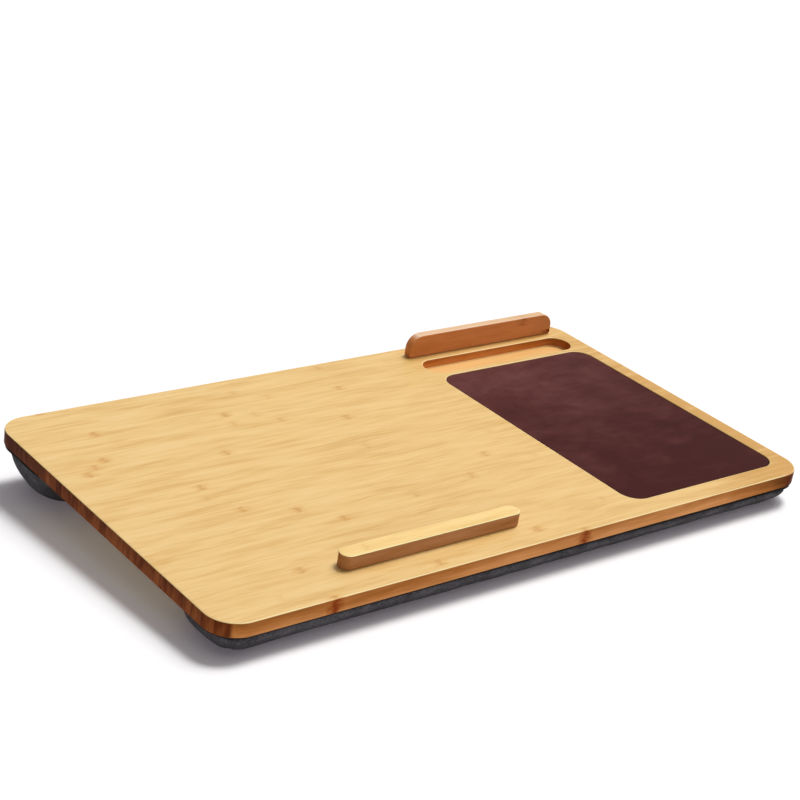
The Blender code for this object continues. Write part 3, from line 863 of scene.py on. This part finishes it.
def stitch_row(name, points, tree, thread):
    """Row of stitches along a closed loop of points in the board's frame."""
    bolsters = bpy.context.scene.lap_desk_bolsters
    mesh = bpy.data.meshes.new(name)
    mesh.from_pydata(points, [(i, (i + 1) % len(points)) for i in range(len(points))], [])
    item = link(name, mesh)
    modifier = item.modifiers.new("stitches", "NODES")
    modifier.node_group = tree
    values = {"Pitch": bolsters.stitch_pitch, "Length": bolsters.stitch_length,
              "Thickness": bolsters.stitch_thickness, "Thread": thread}
    for socket in tree.interface.items_tree:
        if socket.in_out == "INPUT" and socket.name in values:
            modifier[socket.identifier] = values[socket.name]
    bake(item)
    item.data.shade_smooth()
    return item


class LAPDESK_OT_stitches(bpy.types.Operator):
    """Sew the bolsters to their backing sheets."""

    bl_idname = "lapdesk.stitches"
    bl_label = "Stitches"

    def execute(self, context):
        bolsters = context.scene.lap_desk_bolsters
        thread = fibrous("polyester thread", bolsters.thread, 0.5, 0.05, Roughness=0.7)
        tree = stitch_tree()
        for row in ROWS:
            points = sheet_ring(row, SIDE_FLANGE, SHEET_TOP - SHEET_THICKNESS)
            stitches = stitch_row(f"{row}_stitches", points, tree, thread)
            finish_piece(stitches, thread, "charcoal_fabric")
        return {"FINISHED"}


def floor_z(y):
    """Height of the floor in the board's frame, under the place y."""
    return -(BOARD_ORIGIN.z + y * math.sin(BOARD_TILT)) / math.cos(BOARD_TILT)


def bolster_form(name, row, shrink):
    """Object with a bolster's closed form, made smaller all round, from its seam to the flat it rests on.

    Each ring is the outline drawn in by a superellipse while it goes down, with corners that spread from
    the seam to the foot. Points that would be below the floor stay on it.
    """
    sizes = ROWS[row]
    half_length = BOARD_WIDTH / 2 - SHEET_INSET - sizes["end_flange"] - shrink
    half_depth = sizes["depth"] / 2 - SIDE_FLANGE - shrink
    corner, foot_corner = (radius - shrink for radius in sizes["corners"])
    roll = sizes["roll"] - shrink
    power = sizes["power"]
    bulge_z = SEAM_Z - sizes["bulge_drop"]

    def ring(inset, share):
        width = 2 * (half_length - inset)
        depth = 2 * (half_depth - inset)
        spread = corner + (foot_corner - corner) * share ** CORNER_SPREAD_POWER
        outline = rounded_rectangle(width, depth, min(spread, ROUND_END_SHARE * (half_depth - inset)))
        points = []
        for x, y in outline:
            x -= sizes["right_inset"] if x > 0 else 0
            y += sizes["y"]
            bottom = floor_z(y) + shrink
            z = bulge_z - share * (bulge_z - bottom + CROWN_CUT)
            points.append((x, y, max(bottom, z) + margin_lift(row, x, y) * (1 - share)))
        return points

    rings = [[(x, y, SEAM_Z + margin_lift(row, x, y)) for x, y, z in ring(SEAM_DRAW_IN, 0)]]
    for step in range(ROLL_STEPS + 1):
        angle = ROLL_END_ANGLE * step / ROLL_STEPS
        rings.append(ring(roll * (1 - math.cos(angle) ** (2 / power)), math.sin(angle) ** (2 / power)))
    return loft(name, rings)


def held_in(row, point):
    """The nearest place under the backing sheet and above the floor."""
    ceiling = SEAM_Z + margin_lift(row, point.x, point.y)
    point.z = max(min(point.z, ceiling), floor_z(point.y) + FIT_GAP / 2)
    return point


def remesh(item, size):
    """Rebuild a closed piece from even quads."""
    modifier = item.modifiers.new("remesh", "REMESH")
    modifier.mode = "VOXEL"
    modifier.voxel_size = size
    bake(item)


def inflate(item, row, bolsters):
    """Blow the cloth up from inside, held along the backing sheet, and cap how far it moves."""
    held = item.vertex_groups.new(name="sewn")
    for vertex in item.data.vertices:
        if vertex.co.z > SEAM_Z - bolsters.cloth_mesh / 2:
            held.add([vertex.index], 1.0, "REPLACE")
    modifier = item.modifiers.new("cloth", "CLOTH")
    cloth = modifier.settings
    cloth.quality = 6
    cloth.mass = 0.12
    cloth.tension_stiffness = 12
    cloth.compression_stiffness = 6
    cloth.shear_stiffness = 4
    cloth.bending_stiffness = 0.5
    cloth.vertex_group_mass = held.name
    cloth.use_pressure = True
    cloth.uniform_pressure_force = bolsters.pressure
    cloth.shrink_min = -bolsters.spare_cloth
    cloth.effector_weights.gravity = 0
    modifier.collision_settings.use_collision = False
    modifier.point_cache.frame_end = bolsters.frames
    scene = bpy.context.scene
    for number in range(1, bolsters.frames + 1):
        scene.frame_set(number)
    start = [vertex.co.copy() for vertex in item.data.vertices]
    bake(item)
    item.vertex_groups.clear()
    scene.frame_set(1)
    for vertex, rest in zip(item.data.vertices, start):
        move = vertex.co - rest
        if move.length > bolsters.swell:
            move *= bolsters.swell / move.length
        vertex.co = held_in(row, rest + move)


def corner_seams(row):
    """Centre and direction of each corner seam of a bolster, in the board's frame."""
    sizes = ROWS[row]
    x = BOARD_WIDTH / 2 - SHEET_INSET - sizes["end_flange"] - sizes["corners"][0]
    y = sizes["depth"] / 2 - SIDE_FLANGE - sizes["corners"][0]
    seams = []
    for side in (-1, 1):
        for edge in (-1, 1):
            direction = Vector((side, edge)).normalized()
            inset = sizes["right_inset"] if side > 0 else 0
            seams.append((Vector((side * x - inset, sizes["y"] + edge * y)), direction))
    return seams


def press_seams(item, row, bolsters):
    """Pull the cloth in along its seams, with small puckers, and add the slight unevenness of wadding."""
    seams = corner_seams(row)
    normals = [vertex.normal.copy() for vertex in item.data.vertices]
    for vertex, normal in zip(item.data.vertices, normals):
        place = vertex.co
        depth = LUMP_DEPTH * noise.noise(place * per(LUMP_SIZE_MM))
        under = SEAM_Z - place.z
        wave = noise.noise(Vector((place.x, place.y, 0)) * per(bolsters.pucker_pitch / MM / 2))
        depth += bolsters.pucker_depth * (1 + 2 * wave) * math.exp(-under / PUCKER_REACH)
        for centre, direction in seams:
            offset = place.xy - centre
            across = offset.cross(direction)
            if offset.dot(direction) > 0:
                ripple = SEAM_PUCKER_SHARE * math.sin(place.z * per(SEAM_PUCKER_SIZE_MM))
                pucker = 1 + ripple * math.exp(-(across / PUCKER_REACH) ** 2)
                depth += bolsters.seam_depth * pucker * math.exp(-(across / bolsters.seam_width) ** 2)
        vertex.co = held_in(row, place - normal * depth)


class LAPDESK_OT_bolsters(bpy.types.Operator):
    """Make the stuffed fabric bolsters, each with its wadding inside."""

    bl_idname = "lapdesk.bolsters"
    bl_label = "Bolsters"

    def execute(self, context):
        bolsters = context.scene.lap_desk_bolsters
        cloth = jersey("charcoal heather jersey")
        wadding = fibrous("polyester wadding", bolsters.wadding, 4.0, 1.0, Roughness=1.0)
        for row in ROWS:
            cover = bolster_form(f"{row}_bolster", row, bolsters.slack)
            remesh(cover, bolsters.cloth_mesh)
            inflate(cover, row, bolsters)
            subdivision = cover.modifiers.new("finer", "SUBSURF")
            subdivision.levels = 1
            subdivision.render_levels = 1
            bake(cover)
            press_seams(cover, row, bolsters)
            cover.data.shade_smooth()
            finish_piece(cover, cloth, "charcoal_fabric", f"{row}_bolster_cover")

            stuffing = bolster_form(f"{row}_wadding", row, COVER_THICKNESS + bolsters.slack)
            remesh(stuffing, 2 * bolsters.cloth_mesh)
            stuffing.data.shade_smooth()
            finish_piece(stuffing, wadding, "polyester_stuffing", f"{row}_bolster_fill")
        return {"FINISHED"}


class LAPDESK_OT_fasteners(bpy.types.Operator):
    """Finish the screws and the hook and loop tape."""

    bl_idname = "lapdesk.fasteners"
    bl_label = "Screws and tape"

    def execute(self, context):
        bolsters = context.scene.lap_desk_bolsters
        finishes = {
            "screw": zinc("zinc-plated steel"),
            "patch": fibrous("hook and loop tape", bolsters.tape, 0.8, 0.3, Roughness=0.9),
        }
        for name, node in frame["nodes"].items():
            for word, finish in finishes.items():
                if word in name:
                    coat(node, finish)
        return {"FINISHED"}


def seen_rays(add):
    """One for rays from the camera, straight or by way of a mirror or glass, and zero for others."""
    rays = add("LightPath", out=None).outputs
    seen = add("Math", [rays["Is Camera Ray"], rays["Is Glossy Ray"]], "MAXIMUM")
    return add("Math", [seen, rays["Is Transmission Ray"]], "MAXIMUM")


def floor_material():
    """White sweep: matt for the light that falls on it, and lifted to white for the camera.

    The lift is tinted, which shows only in the shadows.
    """
    stage = bpy.context.scene.lap_desk_stage
    material = bpy.data.materials.new("white sweep")
    material.use_nodes = True
    tree = material.node_tree
    tree.nodes.clear()
    add = partial(add_node, tree)
    paint = add("BsdfDiffuse", {"Color": (*stage.floor, 1.0)})
    white = add("BsdfDiffuse", {"Color": WHITE})
    lift = add("Emission", {"Color": (0.95, 0.79, 0.96, 1.0), "Strength": 0.07})
    seen = add("AddShader", [white, lift])
    surface = add("MixShader", [seen_rays(add), paint, seen])
    tree.links.new(surface, add("OutputMaterial", out=None).inputs["Surface"])
    return material


def set_world(stage):
    """Even light all round, and a white background where the camera or a reflection meets it."""
    world = bpy.data.worlds.new("studio")
    world.use_nodes = True
    tree = world.node_tree
    tree.nodes.clear()
    add = partial(add_node, tree)
    strength = add("MapRange", [seen_rays(add), 0.0, 1.0, stage.sky_strength, 1.0])
    light = add("Background", {"Color": WHITE, "Strength": strength})
    tree.links.new(light, add("OutputWorld", out=None).inputs["Surface"])
    bpy.context.scene.world = world


class LAPDESK_OT_stage(bpy.types.Operator):
    """Set the floor, the light and the camera."""

    bl_idname = "lapdesk.stage"
    bl_label = "Stage"

    def execute(self, context):
        stage = context.scene.lap_desk_stage
        reach = stage.floor_reach
        corners = [(-reach, -reach), (reach, -reach), (reach, reach), (-reach, reach)]
        mesh = bpy.data.meshes.new("floor")
        mesh.from_pydata([(x, y, 0) for x, y in corners], [], [range(len(corners))])
        floor = link("floor", mesh)
        mesh.materials.append(floor_material())
        set_world(stage)

        # Strength, spread and the direction that the light comes from
        softboxes = {
            "overhead softbox": (stage.key_strength, stage.key_spread, (0.41, 0.08, 1.0)),
            "right softbox": (stage.side_strength, stage.side_spread, (0.64, 0.09, 1.0)),
            "lit ceiling": (stage.ceiling_strength, stage.ceiling_spread, (0.3, 0.0, 1.0)),
            "front softbox": (stage.fill_strength, stage.fill_spread, (-0.45, -1.0, 0.12)),
        }
        for name, (strength, spread, direction) in softboxes.items():
            light = bpy.data.lights.new(name, "SUN")
            light.energy = strength
            light.angle = spread
            lamp = bpy.data.objects.new(name, light)
            lamp.rotation_euler = Vector(direction).to_track_quat("Z", "Y").to_euler()
            context.scene.collection.objects.link(lamp)

        camera = bpy.data.cameras.new("camera")
        camera.lens = CAMERA_LENS
        camera.sensor_width = SENSOR_WIDTH
        eye = bpy.data.objects.new("camera", camera)
        eye.location = CAMERA_PLACE
        eye.rotation_euler = [math.radians(angle) for angle in CAMERA_TURN]
        context.scene.collection.objects.link(eye)
        context.scene.camera = eye
        context.scene.view_settings.view_transform = "Standard"
        return {"FINISHED"}


OPERATORS = (
    LAPDESK_OT_stage,
    LAPDESK_OT_board,
    LAPDESK_OT_ledge_and_fence,
    LAPDESK_OT_mouse_pad,
    LAPDESK_OT_backing_sheets,
    LAPDESK_OT_bolsters,
    LAPDESK_OT_stitches,
    LAPDESK_OT_fasteners,
)
GROUPS = {
    "lap_desk_wood": LapDeskWood,
    "lap_desk_pad": LapDeskPad,
    "lap_desk_bolsters": LapDeskBolsters,
    "lap_desk_stage": LapDeskStage,
}


class LAPDESK_PT_pieces(bpy.types.Panel):
    """Lists the pieces of the lap desk, and the sizes and colours that they are made from."""

    bl_idname = "LAPDESK_PT_pieces"
    bl_label = "Lap desk"
    bl_space_type = "VIEW_3D"
    bl_region_type = "UI"
    bl_category = "Lap desk"

    def draw(self, context):
        for operator in OPERATORS:
            self.layout.operator(operator.bl_idname)
        for name, group in GROUPS.items():
            box = self.layout.box()
            for key in group.__annotations__:
                box.prop(getattr(context.scene, name), key)


def register():
    """Register the classes, and hang the property groups on the scene."""
    for name, group in GROUPS.items():
        bpy.utils.register_class(group)
        setattr(bpy.types.Scene, name, PointerProperty(type=group))
    for item in (*OPERATORS, LAPDESK_PT_pieces):
        bpy.utils.register_class(item)


def unregister():
    """Take the classes and the property groups off again."""
    for item in (LAPDESK_PT_pieces, *reversed(OPERATORS)):
        bpy.utils.unregister_class(item)
    for name, group in GROUPS.items():
        delattr(bpy.types.Scene, name)
        bpy.utils.unregister_class(group)


def main():
    """Make every piece in order."""
    register()
    for operator in OPERATORS:
        group, name = operator.bl_idname.split(".")
        getattr(getattr(bpy.ops, group), name)()


if __name__ == "__main__":
    main()
